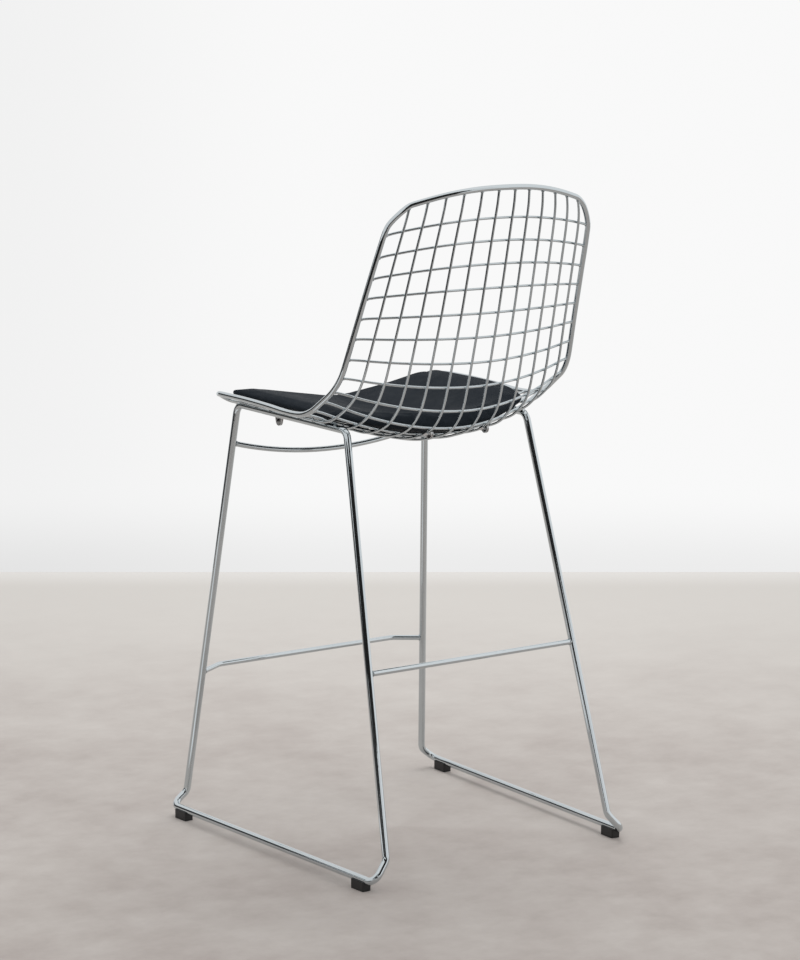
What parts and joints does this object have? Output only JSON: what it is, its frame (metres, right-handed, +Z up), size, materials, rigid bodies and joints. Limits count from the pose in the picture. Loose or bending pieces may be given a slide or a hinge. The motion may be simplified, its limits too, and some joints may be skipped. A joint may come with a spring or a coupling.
{
  "type": "bar stool",
  "caption": "High stool with a bent wire mesh shell seat and back on looped rod side frames, with a footrest, a rear stretcher, floor glides and a padded seat cushion.",
  "frame": {"origin": "on the floor, under the middle of the stool's footprint", "axes": "+Z up, +X to the sitter's left, the front of the stool faces -Y"},
  "size_m": [0.562, 0.5785, 1.0909],
  "materials": {
    "chrome": "polished plating",
    "pad_cover": "fine grain, satin",
    "pad_foam": "soft foam",
    "clip": "bright satin",
    "screw": "blackened",
    "glide": "matte"
  },
  "bodies": {
    "root": {"left_side_frame": "chrome", "right_side_frame": "chrome", "front_footrest": "chrome", "rear_stretcher": "chrome", "front_seat_brace": "chrome", "shell_rim": "chrome", "long_wire_01": "chrome", "long_wire_02": "chrome", "long_wire_03": "chrome", "long_wire_04": "chrome", "long_wire_05": "chrome", "long_wire_06": "chrome", "long_wire_07": "chrome", "long_wire_08": "chrome", "long_wire_09": "chrome", "long_wire_10": "chrome", "long_wire_11": "chrome", "long_wire_12": "chrome", "cross_wire_01": "chrome", "cross_wire_02": "chrome", "cross_wire_03": "chrome", "cross_wire_04": "chrome", "cross_wire_05": "chrome", "cross_wire_06": "chrome", "cross_wire_07": "chrome", "cross_wire_08": "chrome", "cross_wire_09": "chrome", "cross_wire_10": "chrome", "cross_wire_11": "chrome", "cross_wire_12": "chrome", "cross_wire_13": "chrome", "cross_wire_14": "chrome", "cross_wire_15": "chrome", "cross_wire_16": "chrome", "cross_wire_17": "chrome", "cross_wire_18": "chrome", "cross_wire_19": "chrome", "seat_pad_cover": "pad_cover", "seat_pad_foam": "pad_foam", "pad_clips": "clip", "pad_clip_screws": "screw", "front_left_glide": "glide", "front_right_glide": "glide", "rear_left_glide": "glide", "rear_right_glide": "glide"}
  },
  "joints": []
}
